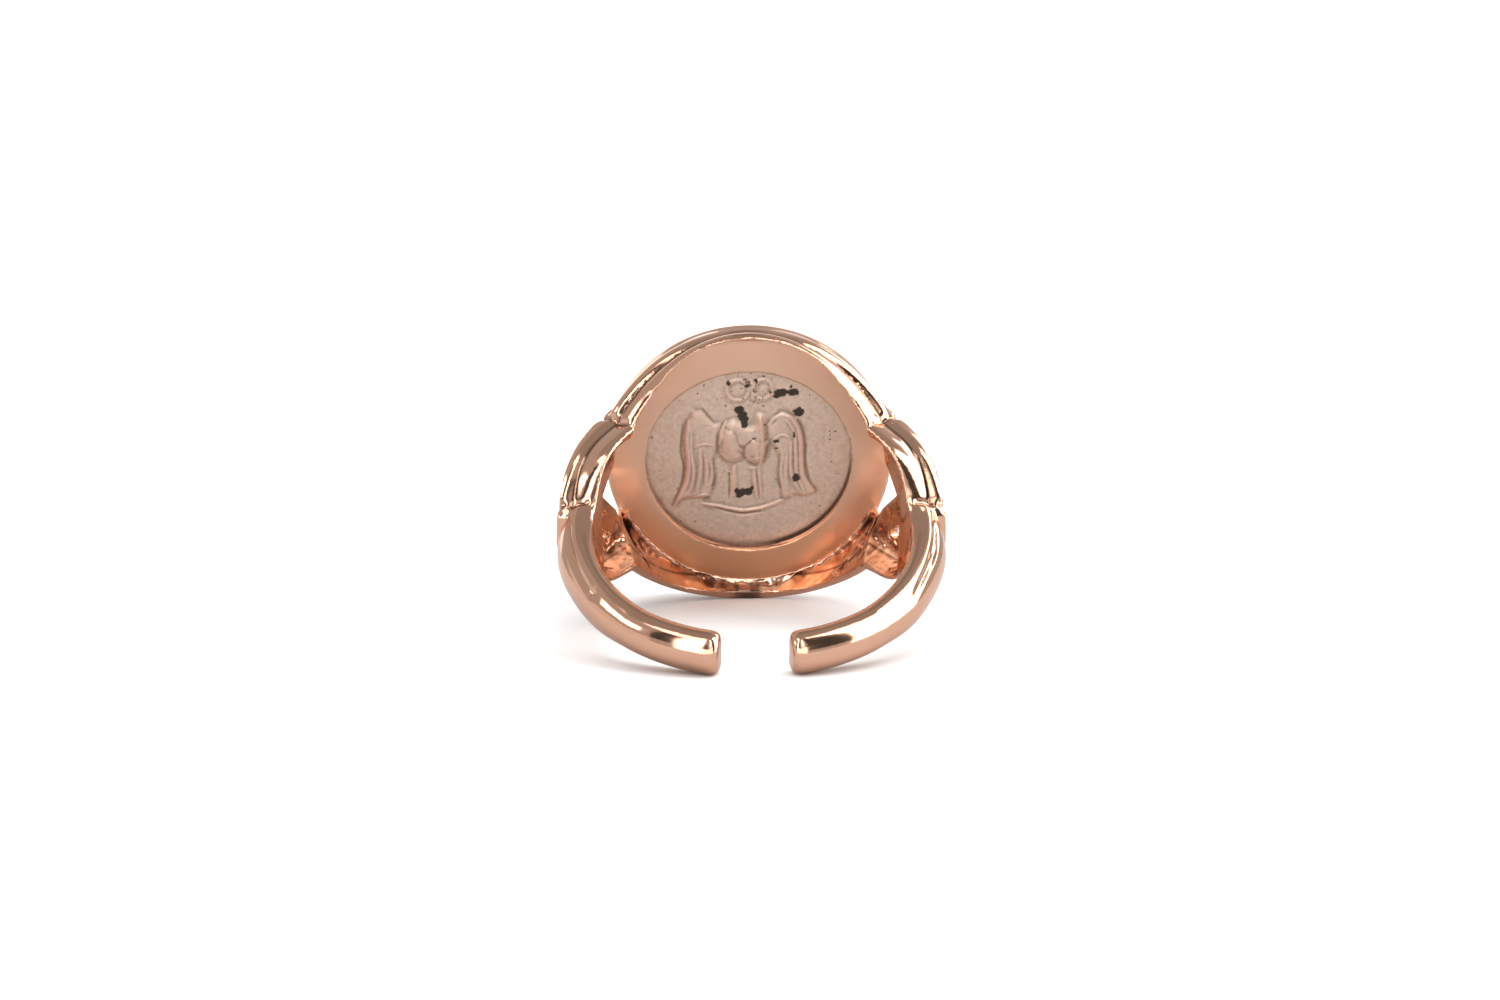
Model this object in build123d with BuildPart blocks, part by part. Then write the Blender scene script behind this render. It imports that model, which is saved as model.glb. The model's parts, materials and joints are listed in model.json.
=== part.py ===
"""Open coin ring: a cast rose-gold band whose round head holds a worn silver coin."""

from build123d import *
import os
from math import asin, atan2, cos, degrees, radians, sin, sqrt

os.makedirs("parts", exist_ok=True)

# Millimetres. Built upright in the ring's own frame: the finger axis on Z, the head towards +Y
# and the open ends of the shank towards -Y. Angles run round the finger axis from the head.

# Finger seat and shank
finger_radius = 8.4
shank_thickness = 1.5
shank_half_width = 1.1
shank_gap = 3.5
shank_corner = 0.36
shank_crown = 0.93
shank_end_round = 0.4
seat_allowance = 0.12

# Shoulders
shoulder_half_width = 4.3
shoulder_height = 2.65
shoulder_side_wall = 0.57
shoulder_shell = 0.8
shoulder_rim = 0.18
hollow_round = 0.4
cuff_half_width = 2.35
cuff_height = 1.95
cuff_angle = 80.5
lobe_angle = 140.0

# Openings through the shoulder shell
vee_half_width = 3.3
slit_offset = 2.1
slit_length = 2.8
slit_width = 0.45
slit_slant = 45.0

# Head
head_radius = 8.72
groove_height = 1.3
groove_depth = 0.24
rim_round = 0.1
head_relief = 0.2
arch_drop = 0.13
lower_arch_drop = 0.21
cup_radius = 8.22
cup_wall = 0.17
floor_height = 1.0
floor_thickness = 0.4
window_radius = 5.95
window_chamfer = 0.06
collar_start = 3.0
collar_drop = 2.6
front_lip = 0.3
front_round = 0.65

# Coin
coin_radius = 7.2
coin_thickness = 1.2
coin_edge_round = 0.2
coin_clearance = 0.05
lip_overlap = 0.35
coin_rim_width = 0.55
field_depth = 0.22
relief_height = 0.14
chest_height = 0.2
bead_count = 56
bead_radius = 0.13

# Places that follow from the sizes above
seat_radius = finger_radius - seat_allowance
groove_radius = finger_radius + groove_height
floor_radius = cup_radius - cup_wall
floor_y = finger_radius + floor_height
pocket_y = floor_y + floor_thickness
coin_back_y = pocket_y + coin_clearance
coin_front_y = coin_back_y + coin_thickness
lip_y = coin_front_y + coin_clearance
front_y = lip_y + front_lip
pocket_radius = coin_radius + coin_clearance
lip_radius = coin_radius - lip_overlap
shank_end_angle = 180 - degrees(asin(shank_gap / 2 / (finger_radius + shank_thickness / 2)))
end_round_angle = degrees(shank_end_round / finger_radius)
arch_end_width = 0.975 * shoulder_half_width
arch_end_angle = degrees(asin(sqrt(head_radius**2 - arch_end_width**2) / groove_radius))
junction_angle = 0.905 * arch_end_angle
vee_start_angle = 0.75 * arch_end_angle
vee_tip_angle = 1.052 * arch_end_angle
slit_angle = 1.1 * arch_end_angle

# Sections of the head's arch. angle: share of arch_end_angle. inner: lowest point of the
# section as a share of the half width there. drop: how far the outer tier steps in, as a
# share of groove_height. reach: radius as a share of front_y.
ARCH_SECTIONS = [
    # angle, inner, drop, reach
    (0.00, 0.60, 0.26, 0.965),
    (0.20, 0.60, 0.24, 0.965),
    (0.40, 0.60, 0.17, 0.956),
    (0.60, 0.60, 0.10, 0.942),
    (0.80, 0.63, 0.05, 0.930),
    (1.00, 0.68, 0.04, 0.921),
]

# Sections of a shoulder. place: from 0 at the junction with the head to 1 at the cuff.
# width: share of shoulder_half_width. rise: share of shoulder_height.
SHOULDER_SECTIONS = [
    # place, width, rise
    (-0.22, 1.09, 1.10),
    (0.00, 1.08, 1.03),
    (0.22, 1.03, 0.96),
    (0.44, 0.98, 0.89),
    (0.66, 0.87, 0.85),
    (0.88, 0.65, 0.84),
    (1.10, 0.43, 0.82),
]

# Sections of the hollow inside a shoulder, measured the same way. side and shell: the wall
# left beside and over it, as shares of shoulder_rim, shoulder_side_wall and shoulder_shell.
HOLLOW_SECTIONS = [
    # place, width, rise, side, shell
    (-0.22, 1.00, 1.10, 1.3, 1.0),
    (0.03, 1.00, 1.02, 1.0, 1.0),
    (0.28, 1.00, 0.94, 1.0, 1.0),
    (0.53, 0.94, 0.87, 1.1, 1.0),
    (0.78, 0.76, 0.84, 1.6, 1.4),
]

# Sections of the lobe between the cuff and the plain shank. place: from 0 at the cuff to 1 at
# the plain shank. width and rise: share of the way from the cuff's size to the shank's.
LOBE_SECTIONS = [
    # place, width, rise
    (0.00, 0.04, 0.00),
    (0.17, 0.38, 0.05),
    (0.33, 0.53, 0.45),
    (0.50, 0.67, 0.84),
    (0.67, 0.79, 0.93),
    (0.83, 0.90, 0.98),
    (1.00, 1.00, 1.00),
]

# Sections of the rounding at the open end of the shank, as shares of shank_end_round: how far
# before the end, and how far in from the sides.
END_SECTIONS = [
    # before, inset
    (1.00, 0.00),
    (0.58, 0.09),
    (0.23, 0.36),
    (0.00, 0.74),
]

# Sections of the space inside the head, between the finger and the floor of the cup.
# depth: share of collar_drop. across and along: shares of floor_radius.
CAVITY_SECTIONS = [
    # depth, across, along
    (0.00, 1.000, 1.000),
    (0.45, 0.982, 1.055),
    (0.95, 0.962, 1.040),
    (1.80, 0.925, 1.045),
]

# The coin's relief, as shares of window_radius across and up.
LEFT_WING = [
    (-0.45, 0.50), (-0.59, 0.41), (-0.63, 0.20), (-0.61, -0.11), (-0.68, -0.36), (-0.75, -0.55),
    (-0.56, -0.47), (-0.38, -0.46), (-0.34, -0.28), (-0.37, -0.06), (-0.30, 0.14), (-0.30, 0.34),
]
RIGHT_WING = [
    (0.31, 0.50), (0.44, 0.44), (0.51, 0.28), (0.52, 0.02), (0.53, -0.18), (0.66, -0.40),
    (0.53, -0.44), (0.35, -0.47), (0.32, -0.15), (0.28, 0.05), (0.22, 0.14), (0.22, 0.34),
]
CHEST = [
    (-0.10, 0.39), (-0.25, 0.28), (-0.25, 0.08), (-0.20, -0.03), (-0.05, 0.01), (0.10, -0.04),
    (0.16, 0.08), (0.17, 0.30), (0.06, 0.40),
]
GROUND = [(-0.38, -0.57), (-0.03, -0.62), (0.33, -0.53)]
LEGS = [(-0.15, -0.28), (0.06, -0.28)]
RINGS = [(-0.11, 0.74), (0.12, 0.74)]
leg_width = 0.45
leg_length = 2.6
ring_outer = 0.67
ring_inner = 0.39
ground_width = 0.21


def radial_plane(angle):
    """Plane through the finger axis: its x runs outwards at the angle, its y along the axis."""
    turn = radians(angle)
    return Plane(origin=(0, 0, 0), x_dir=(sin(turn), cos(turn), 0), z_dir=(cos(turn), -sin(turn), 0))


def tangent_plane(angle, radius):
    """Plane that touches a cylinder of that radius: its x runs round it, its normal outwards."""
    turn = radians(angle)
    outwards = (sin(turn), cos(turn), 0)
    origin = (radius * outwards[0], radius * outwards[1], 0)
    return Plane(origin=origin, x_dir=(cos(turn), -sin(turn), 0), z_dir=outwards)


def facing_plane(height):
    """Plane square to the head's own axis, seen from the finger: its x is X, its y is Z."""
    return Plane(origin=(0, height, 0), x_dir=(1, 0, 0), z_dir=(0, -1, 0))


def head_half_width(angle):
    """Half width of the head there: a circle of head_radius drawn on the groove's cylinder."""
    across = groove_radius * sin(radians(angle))
    return sqrt(head_radius**2 - across**2)


def shoulder_angle(place):
    """Angle of a place between the junction and the cuff."""
    return junction_angle + place * (cuff_angle - junction_angle)


def arch_section(angle, inner, drop, reach):
    """A section of the head's arch: two rounded tiers that meet in a groove."""
    width = head_half_width(angle) - arch_drop
    step = drop * groove_height
    bottom = finger_radius + head_relief
    top = reach * front_y
    start = (bottom, width - rim_round)
    crest = (finger_radius + groove_height / 2, width)
    groove = (groove_radius, width - groove_depth - step / 2)
    second_crest = (groove_radius + groove_height / 2, width - step)
    edge = (top, width - 2 * groove_depth - step)
    with BuildSketch(radial_plane(angle)) as section:
        with BuildLine():
            ThreePointArc(start, crest, groove)
            ThreePointArc(groove, second_crest, edge)
            Polyline(edge, (top, inner * width), (bottom, inner * width), start)
        make_face()
    return section.sketch


def shoulder_section(place, width, rise):
    """A section of a shoulder: two rounded tiers on each side under a crowned outer face."""
    half = width * shoulder_half_width
    bottom = finger_radius - 3 * seat_allowance
    top = finger_radius + rise * shoulder_height
    start = (bottom, half - rim_round)
    crest = (finger_radius + groove_height / 2, half)
    groove = (groove_radius, half - groove_depth)
    second_crest = ((groove_radius + top) / 2, half - groove_depth / 2)
    edge = (top - groove_depth / 2, half - groove_depth)
    with BuildSketch(radial_plane(shoulder_angle(place))) as section:
        with BuildLine():
            ThreePointArc(start, crest, groove)
            ThreePointArc(groove, second_crest, edge)
            Polyline(edge, (top, 0), (bottom, 0), start)
        make_face()
        mirror(about=Plane.XZ)
    return section.sketch


def hollow_section(place, width, rise, side, shell):
    """A section of the hollow inside a shoulder, open towards the finger."""
    bottom = finger_radius - 6 * seat_allowance
    top = finger_radius + rise * shoulder_height - shell * shoulder_shell
    mouth = width * shoulder_half_width - side * shoulder_rim
    half = width * shoulder_half_width - side * shoulder_side_wall
    with BuildSketch(radial_plane(shoulder_angle(place))) as section:
        with BuildLine():
            Polyline((bottom, 0), (bottom, mouth), (finger_radius, mouth), (top, half), (top, 0), close=True)
        make_face()
        mirror(about=Plane.XZ)
        fillet(section.vertices().group_by(Axis.X)[-1], hollow_round)
    return section.sketch


def bar_section(angle, half, rise, margin=0.0):
    """A bar flat towards the finger and crowned outwards, drawn in by a margin all round."""
    bottom = seat_radius + margin
    top = finger_radius + rise - margin
    side = top - shank_crown + margin
    width = half - margin
    with BuildSketch(radial_plane(angle)) as section:
        with BuildLine():
            Polyline((side, -width), (bottom, -width), (bottom, width), (side, width))
            ThreePointArc((side, width), (top, 0), (side, -width))
        make_face()
        fillet(section.vertices().group_by(Axis.X)[0], shank_corner - margin)
    return section.sketch


def lobe_section(place, width, rise):
    """A section of the lobe between the cuff and the plain shank."""
    angle = cuff_angle + place * (lobe_angle - cuff_angle)
    half = cuff_half_width + width * (shank_half_width - cuff_half_width)
    return bar_section(angle, half, cuff_height + rise * (shank_thickness - cuff_height))


def end_section(before, inset):
    """A section of the rounding at the shank's open end."""
    angle = shank_end_angle - before * end_round_angle
    return bar_section(angle, shank_half_width, shank_thickness, inset * shank_end_round)


def cavity_section(depth, across, along):
    """A section of the space inside the head: an ellipse square to the head's own axis."""
    with BuildSketch(facing_plane(floor_y - depth * collar_drop)) as section:
        Ellipse(across * floor_radius, along * floor_radius)
    return section.sketch


def on_window(shares):
    """Points given as shares of window_radius, in millimetres."""
    return [(window_radius * across, window_radius * up) for across, up in shares]


def lowest(part, tilt):
    """Lowest point of a part once it is tilted about X."""
    return (Rotation(tilt, 0, 0) * part).bounding_box().min.Z


with BuildPart() as arch:
    right_half = [arch_section(arch_end_angle * share, *rest) for share, *rest in ARCH_SECTIONS]
    left_half = [arch_section(-arch_end_angle * share, *rest) for share, *rest in ARCH_SECTIONS[1:]]
    loft(sections=left_half[::-1] + right_half)

with BuildPart() as lower_arch:
    mirror(objects=arch.part, about=Plane.XY.offset(-lower_arch_drop))

with BuildPart() as shoulder:
    loft(sections=[shoulder_section(*row) for row in SHOULDER_SECTIONS])

with BuildPart() as shoulder_hollow:
    loft(sections=[hollow_section(*row) for row in HOLLOW_SECTIONS])

with BuildPart() as shank:
    loft(sections=[lobe_section(*row) for row in LOBE_SECTIONS])
    plain = bar_section(lobe_angle, shank_half_width, shank_thickness)
    plain_arc = shank_end_angle - end_round_angle - lobe_angle
    revolve(plain, axis=Axis.Z.reverse(), revolution_arc=plain_arc)
    loft(sections=[end_section(*row) for row in END_SECTIONS], ruled=True)

# Pointed window in the shoulder, widest beside the head
vee_middle = (vee_start_angle + vee_tip_angle) / 2
vee_reach = groove_radius * radians(vee_tip_angle - vee_start_angle) / 2
with BuildPart() as vee:
    with BuildSketch(tangent_plane(vee_middle, seat_radius)):
        with BuildLine():
            Polyline((-vee_reach, vee_half_width), (vee_reach, 0), (-vee_reach, -vee_half_width), close=True)
        make_face()
    extrude(amount=shoulder_height + 4 * seat_allowance)

with BuildPart() as slits:
    with BuildSketch(tangent_plane(slit_angle, seat_radius)):
        with Locations((0, slit_offset)):
            SlotOverall(slit_length, slit_width, rotation=-slit_slant)
        with Locations((0, -slit_offset)):
            SlotOverall(slit_length, slit_width, rotation=slit_slant)
    extrude(amount=2 * shoulder_height)

with BuildPart() as cup:
    with BuildSketch(facing_plane(front_y)):
        Circle(cup_radius)
    extrude(amount=front_y - floor_y)
    fillet(cup.faces().sort_by(Axis.Y)[-1].edges(), front_round)

# Sides of the collar that join the cup to the head's arch
with BuildPart() as collar:
    with BuildSketch(facing_plane(floor_y)):
        Circle(cup_radius)
        Rectangle(2 * cup_radius, 2 * collar_start, mode=Mode.SUBTRACT)
    extrude(amount=collar_drop)
    Cylinder(finger_radius + head_relief, 4 * head_radius, mode=Mode.SUBTRACT)

with BuildPart() as cavity:
    loft(sections=[cavity_section(*row) for row in CAVITY_SECTIONS])

# Window, pocket and front opening, turned about the head's own axis
with BuildPart() as coin_seat:
    with BuildSketch(Plane.XY):
        with BuildLine():
            Polyline(
                (0, finger_radius),
                (window_radius + window_chamfer, finger_radius),
                (window_radius + window_chamfer, floor_y),
                (window_radius, floor_y + window_chamfer),
                (window_radius, pocket_y),
                (pocket_radius, pocket_y),
                (pocket_radius, lip_y),
                (lip_radius, lip_y),
                (lip_radius, front_y + front_lip),
                (0, front_y + front_lip),
                close=True,
            )
        make_face()
    revolve(axis=Axis.Y)

with BuildPart() as upright_body:
    add([cup.part, collar.part, arch.part, lower_arch.part])
    add([shoulder.part, shank.part])
    mirror(objects=[shoulder.part, shank.part], about=Plane.YZ)
    Cylinder(finger_radius, 4 * head_radius, mode=Mode.SUBTRACT)
    add([cavity.part, coin_seat.part], mode=Mode.SUBTRACT)
    add([shoulder_hollow.part, vee.part, slits.part], mode=Mode.SUBTRACT)
    mirror(objects=[shoulder_hollow.part, vee.part, slits.part], about=Plane.YZ, mode=Mode.SUBTRACT)

with BuildPart() as upright_coin:
    with BuildSketch(facing_plane(coin_front_y)):
        Circle(coin_radius)
    extrude(amount=coin_thickness)
    fillet(upright_coin.edges(), coin_edge_round)
    with BuildSketch(facing_plane(coin_back_y + field_depth), facing_plane(coin_front_y)):
        Circle(coin_radius - coin_rim_width)
    extrude(amount=field_depth, mode=Mode.SUBTRACT)
    with BuildSketch(facing_plane(coin_back_y + field_depth)):
        for wing in (LEFT_WING, RIGHT_WING):
            with BuildLine():
                Spline(on_window(wing), periodic=True)
            make_face()
        with Locations(*on_window(LEGS)):
            SlotOverall(leg_length, leg_width, rotation=90)
        with Locations(*on_window(RINGS)):
            Circle(ring_outer)
            Circle(ring_inner, mode=Mode.SUBTRACT)
        with BuildLine():
            ground = ThreePointArc(*on_window(GROUND))
        SlotArc(ground, ground_width)
    extrude(amount=relief_height)
    with BuildSketch(facing_plane(coin_back_y + field_depth)):
        with BuildLine():
            Spline(on_window(CHEST), periodic=True)
        make_face()
    extrude(amount=chest_height)
    with BuildSketch(facing_plane(coin_front_y - field_depth)):
        with PolarLocations(coin_radius - coin_rim_width - 2 * bead_radius, bead_count):
            Circle(bead_radius)
    extrude(amount=-relief_height)

# The ring lies on its side, on the lower edge of the head and the two ends of the shank
rest_span = 2 * finger_radius + shank_thickness
rest_tilt = degrees(atan2(head_radius - shank_half_width, rest_span))
for _ in range(3):
    lift_off = lowest(shank.part, rest_tilt) - lowest(lower_arch.part, rest_tilt)
    rest_tilt += degrees(lift_off / rest_span)
tilted_box = (Rotation(rest_tilt, 0, 0) * upright_body.part).bounding_box()
rest = Pos(0, -tilted_box.center().Y, -tilted_box.min.Z) * Rotation(rest_tilt, 0, 0)

with BuildPart() as ring_body:
    with Locations(rest):
        add(upright_body.part)
ring_body.part.label = "ring_body"
export_step(ring_body.part, "parts/ring_body.step")

with BuildPart() as coin:
    with Locations(rest):
        add(upright_coin.part)
coin.part.label = "coin"
export_step(coin.part, "parts/coin.step")
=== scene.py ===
import json
import math

import bmesh
import bpy
import numpy as np
from mathutils import Matrix, Vector
from mathutils.kdtree import KDTree


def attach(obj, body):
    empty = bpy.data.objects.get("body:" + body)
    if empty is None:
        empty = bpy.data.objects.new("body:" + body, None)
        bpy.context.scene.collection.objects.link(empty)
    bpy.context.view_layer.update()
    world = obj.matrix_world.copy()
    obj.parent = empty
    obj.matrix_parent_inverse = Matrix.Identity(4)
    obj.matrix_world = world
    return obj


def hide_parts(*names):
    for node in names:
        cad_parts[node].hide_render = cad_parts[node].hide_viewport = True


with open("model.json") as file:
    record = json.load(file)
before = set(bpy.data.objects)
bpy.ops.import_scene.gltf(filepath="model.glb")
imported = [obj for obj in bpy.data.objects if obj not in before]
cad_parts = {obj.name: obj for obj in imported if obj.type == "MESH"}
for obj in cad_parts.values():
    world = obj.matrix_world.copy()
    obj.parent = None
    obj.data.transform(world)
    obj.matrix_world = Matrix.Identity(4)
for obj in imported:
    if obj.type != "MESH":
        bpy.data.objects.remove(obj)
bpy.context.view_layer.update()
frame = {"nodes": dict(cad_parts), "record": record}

MM = 0.001

bl_info = {
    "name": "Coin ring",
    "version": (1, 0, 0),
    "blender": (4, 5, 0),
    "location": "3D View > Sidebar > Coin ring",
    "description": "Dresses the packed coin ring: polished band, satin back plate and worn coin",
    "category": "Object",
}

# The ring's own frame: the finger axis is its Z, the head lies towards its +Y. The open ends
# of the shank lie towards -Y, where the photograph looks from. Its lengths are millimetres.
SEAT = next(m for m in frame["record"]["mounts"] if m["name"] == "finger_seat")
FINGER_AXIS = Vector(SEAT["axis"]).normalized()
SIDEWAYS = Vector((1.0, 0.0, 0.0))
HEADWARDS = FINGER_AXIS.cross(SIDEWAYS)
TURN = Matrix((SIDEWAYS, HEADWARDS, FINGER_AXIS)).transposed()
RING = Matrix.Translation(Vector(SEAT["pos_m"])) @ TURN.to_4x4() @ Matrix.Scale(MM, 4)

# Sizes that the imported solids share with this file. Angles run from the head, in degrees.
PLATE_BACK = 9.4
COIN_BACK = 9.85
COIN_FRONT = 11.05
COIN_RADIUS = 7.2
WINDOW_RADIUS = 5.95
GROOVE_RADIUS = 9.7
PINCH_ANGLE = 48.9
CUFF_ANGLE = 80.5
FIELD_DEPTH = 0.22
COIN_RIM = 0.55


def to_row(points):
    """Points of the ring's own frame, as rows of millimetres, in the row frame in metres."""
    m = np.array(RING)
    return points @ m[:3, :3].T + m[:3, 3]


def to_ring(points):
    """Points of the row frame in metres, in the ring's own frame in millimetres."""
    m = np.array(RING.inverted())
    return points @ m[:3, :3].T + m[:3, 3]


def new_object(name, data):
    obj = bpy.data.objects.new(name, data)
    bpy.context.scene.collection.objects.link(obj)
    return obj


def new_mesh(name, points, edges, faces):
    """A mesh from points of the ring's own frame."""
    mesh = bpy.data.meshes.new(name)
    mesh.from_pydata(to_row(points).tolist(), edges, faces)
    return mesh


def shade_smooth(mesh):
    mesh.polygons.foreach_set("use_smooth", [True] * len(mesh.polygons))


def set_values(mesh, name, values):
    """Stores one number for each point, for the materials."""
    layer = mesh.attributes.new(name, "FLOAT", "POINT")
    layer.data.foreach_set("value", np.asarray(values, np.float32))


def rows_of_three(items, name):
    flat = np.empty(len(items) * 3)
    items.foreach_get(name, flat)
    return flat.reshape(-1, 3)


def smoothstep(low, high, value):
    t = np.clip((value - low) / (high - low), 0.0, 1.0)
    return t * t * (3.0 - 2.0 * t)


def bell(value, centre, width):
    """1 at the centre, and falling off softly on both sides."""
    return np.exp(-(((value - centre) / width) ** 2))


def soft_noise(a, b, cells, seed):
    """Smooth noise from -1 to 1 over the plane: random heights on a grid, blended between."""
    size = 64
    grid = np.random.default_rng(seed).uniform(-1.0, 1.0, (size, size))
    x, y = a * cells + 31.7, b * cells + 17.3
    i, j = np.floor(x).astype(int), np.floor(y).astype(int)
    fx, fy = smoothstep(0, 1, x - i), smoothstep(0, 1, y - j)
    pick = lambda di, dj: grid[(i + di) % size, (j + dj) % size]
    low = pick(0, 0) * (1 - fx) + pick(1, 0) * fx
    high = pick(0, 1) * (1 - fx) + pick(1, 1) * fx
    return low * (1 - fy) + high * fy


def finish_piece(obj, slot, *nodes):
    """Hands a finished piece to the frame."""
    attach(obj, "root")
    if nodes:
        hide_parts(*nodes)


def evaluated_mesh(obj):
    depsgraph = bpy.context.evaluated_depsgraph_get()
    mesh = bpy.data.meshes.new_from_object(obj.evaluated_get(depsgraph))
    obj.modifiers.clear()
    obj.data = mesh
    return mesh


def add_up(index, values, size):
    """Sums rows of values that share an index."""
    return np.stack([np.bincount(index, values[:, k], size) for k in range(values.shape[1])], 1)


def unit(vectors):
    return vectors / np.maximum(np.linalg.norm(vectors, axis=1, keepdims=True), 1e-20)


class Quads:
    """An all-quad mesh as arrays, for evening out its facets without losing its creases."""

    def __init__(self, mesh):
        self.points = rows_of_three(mesh.vertices, "co")
        count = len(mesh.polygons)
        corners = np.empty(count * 4, np.int64)
        mesh.polygons.foreach_get("vertices", corners)
        self.corners = corners.reshape(-1, 4)
        edges = np.stack([self.corners, np.roll(self.corners, -1, axis=1)], -1).reshape(-1, 2)
        key = np.sort(edges, axis=1) @ np.array([len(self.points), 1])
        order = np.argsort(key, kind="stable")
        same = key[order][1:] == key[order][:-1]
        self.left, self.right = order[:-1][same] // 4, order[1:][same] // 4

    def face_normals(self):
        p = self.points[self.corners]
        return unit(np.cross(p[:, 2] - p[:, 0], p[:, 3] - p[:, 1]))

    def gather(self, values):
        """Adds up at each point the values of the faces round it."""
        return add_up(self.corners.ravel(), np.repeat(values, 4, axis=0), len(self.points))

    def face_counts(self):
        return np.bincount(self.corners.ravel(), minlength=len(self.points))[:, None]

    def vertex_normals(self):
        return unit(self.gather(self.face_normals()))

    def soften(self, weight, rounds):
        """Eases the points towards the middle of their faces where the weight is above zero."""
        share = self.face_counts()
        for _ in range(rounds):
            middle = self.gather(self.points[self.corners].mean(1)) / share
            self.points = self.points + (middle - self.points) * weight[:, None]

    def even_out(self, rounds, crease):
        """Averages normals between faces that turn less than the crease, then fits the points."""
        normals = self.face_normals()
        limit = math.cos(crease)
        size = len(normals)
        for _ in range(rounds):
            near = np.sum(normals[self.left] * normals[self.right], 1)
            weight = np.clip(near - limit, 0, None)[:, None] ** 2
            total = add_up(self.left, normals[self.right] * weight, size)
            total += add_up(self.right, normals[self.left] * weight, size)
            normals = unit(total + normals * 1e-3)
        share = self.face_counts()
        for _ in range(rounds):
            centre = self.points[self.corners].mean(1)
            pull = self.gather(np.sum(normals * centre, 1)[:, None] * normals)
            for at in self.corners.T:
                back = np.sum(normals * self.points[at], 1)[:, None] * normals
                pull -= add_up(at, back, len(self.points))
            self.points = self.points + pull / share


# Settings of the pieces: each is a Blender property with its name, description and default


def setting(kind, name, description, default, **more):
    return kind(name=name, description=description, default=default, **more)


def color_setting(name, description, *default):
    return setting(bpy.props.FloatVectorProperty, name, description, default, subtype="COLOR")


def length_setting(name, description, millimetres, **more):
    kind = bpy.props.FloatProperty
    return setting(kind, name, description, millimetres * MM, precision=6, unit="LENGTH", **more)


def angle_setting(name, description, degrees):
    kind = bpy.props.FloatProperty
    return setting(kind, name, description, math.radians(degrees), subtype="ANGLE")


def share_setting(name, description, default, most=1.0):
    kind = bpy.props.FloatProperty
    return setting(kind, name, description, default, min=0.0, max=most, subtype="FACTOR")


def brightness_setting(name, description, default):
    return setting(bpy.props.FloatProperty, name, description, default, min=0.0)


def count_setting(name, description, default, **more):
    return setting(bpy.props.IntProperty, name, description, default, **more)


# Materials


class Finish:
    """A new material, with short hand for building its node tree."""

    def __init__(self, name, metallic=1.0):
        self.material = bpy.data.materials.new(name)
        self.material.use_nodes = True
        self.tree = self.material.node_tree
        self.shader = self.tree.nodes["Principled BSDF"]
        self.shader.inputs["Metallic"].default_value = metallic

    def add(self, kind, **settings):
        node = self.tree.nodes.new(kind)
        for name, value in settings.items():
            setattr(node, name, value)
        return node

    def join(self, source, target):
        self.tree.links.new(source, target)

    def surface(self, **sources):
        """Joins sources to the shader's sockets of the same names."""
        for name, source in sources.items():
            self.join(source, self.shader.inputs[name.replace("_", " ").title()])
        return self.material

    def noise(self, scale, detail=3.0, roughness=0.5):
        texture = self.add("ShaderNodeTexNoise")
        for name, value in (("Scale", scale), ("Detail", detail), ("Roughness", roughness)):
            texture.inputs[name].default_value = value
        self.join(self.add("ShaderNodeTexCoord").outputs["Object"], texture.inputs["Vector"])
        return texture.outputs["Fac"]

    def ramp(self, factor, *stops):
        """Blends between colours along a factor."""
        ramp = self.add("ShaderNodeValToRGB")
        elements = ramp.color_ramp.elements
        while len(elements) < len(stops):
            elements.new(0.5)
        for element, (place, color) in zip(elements, stops):
            element.position = place
            element.color = (*color[:], 1.0)
        self.join(factor, ramp.inputs["Fac"])
        return ramp.outputs["Color"]

    def remap(self, factor, low, high):
        """Stretches a factor from 0 to 1 to another range."""
        node = self.add("ShaderNodeMapRange")
        node.inputs["To Min"].default_value = low
        node.inputs["To Max"].default_value = high
        self.join(factor, node.inputs["Value"])
        return node.outputs["Result"]

    def mix(self, factor, first, second):
        """Blends two colours. The first is a colour or another node's output."""
        node = self.add("ShaderNodeMix", data_type="RGBA")
        self.join(factor, node.inputs[0])
        if isinstance(first, bpy.types.NodeSocket):
            self.join(first, node.inputs[6])
        else:
            node.inputs[6].default_value = (*first[:], 1.0)
        node.inputs[7].default_value = (*second[:], 1.0)
        return node.outputs[2]

    def attribute(self, name):
        return self.add("ShaderNodeAttribute", attribute_name=name).outputs["Fac"]

    def bump(self, height, depth_mm, strength, normal=None):
        """Fine relief, laid over another relief where one is given."""
        node = self.add("ShaderNodeBump")
        node.inputs["Distance"].default_value = depth_mm * MM
        node.inputs["Strength"].default_value = strength
        self.join(height, node.inputs["Height"])
        if normal:
            self.join(normal, node.inputs["Normal"])
        return node.outputs["Normal"]


def polished_rose_gold(settings):
    """The polished outside of the band: faint wear in the gloss, very shallow waves."""
    f = Finish("polished_rose_gold")
    tone = f.ramp(f.noise(260, 2), (0.35, settings.gold_deep), (0.65, settings.gold_color))
    return f.surface(
        # Painted shade: the creases' dark lines, through the shade attribute
        base_color=f.mix(f.attribute("shade"), tone, settings.painted_shade_color),
        roughness=f.remap(f.noise(900, 4, 0.6), settings.polish * 0.7, settings.polish * 1.4),
        normal=f.bump(f.noise(420, 1), 0.008, 0.3))


def satin_rose_gold(settings):
    """The back plate: a fine, even satin finish with a few soft clouds, and a painted orange
    reflection of the collar towards its lower edge.
    """
    f = Finish("satin_rose_gold")
    tone = f.ramp(f.noise(330, 4, 0.55), (0.3, settings.satin_deep), (0.7, settings.satin_color))
    waves = f.bump(f.noise(500, 2), 0.02, 0.3)
    return f.surface(
        # Painted reflection of the collar, stronger towards the plate's lower edge
        base_color=f.mix(f.attribute("warmth_and_reflection"), tone, settings.satin_collar_reflection),
        roughness=f.remap(f.noise(700, 3), settings.satin * 0.85, settings.satin * 1.15),
        normal=f.bump(f.noise(9000, 3, 0.7), 0.002, 0.35, waves))


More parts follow.
